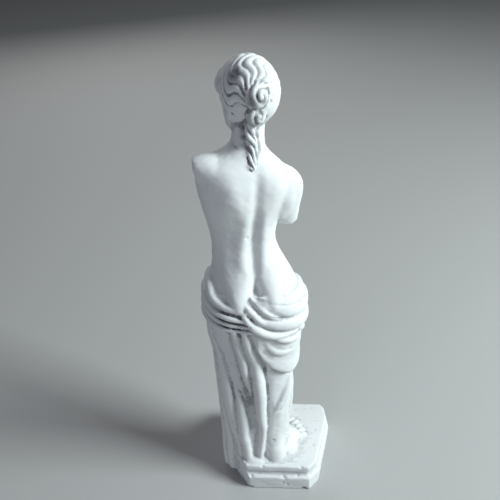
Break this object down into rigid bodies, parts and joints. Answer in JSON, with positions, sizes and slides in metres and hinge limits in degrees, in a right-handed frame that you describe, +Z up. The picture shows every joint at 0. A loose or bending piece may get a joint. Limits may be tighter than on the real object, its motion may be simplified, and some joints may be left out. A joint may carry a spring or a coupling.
{
  "type": "draped classical goddess statuette",
  "caption": "Small white plaster statuette of an armless, half-draped classical goddess, cast together with its moulded polygonal plinth.",
  "frame": {"origin": "middle of the plinth's flat underside, which rests on the surface", "axes": "+Z up, the figure faces -Y and its left side is towards +X"},
  "size_m": [0.0544, 0.0419, 0.1999],
  "materials": {
    "plaster": "matte cast plaster, a little porous and chalky, with grey grime in the recesses of the hair and cloth"
  },
  "bodies": {
    "root": {"statuette": "plaster"}
  },
  "joints": []
}
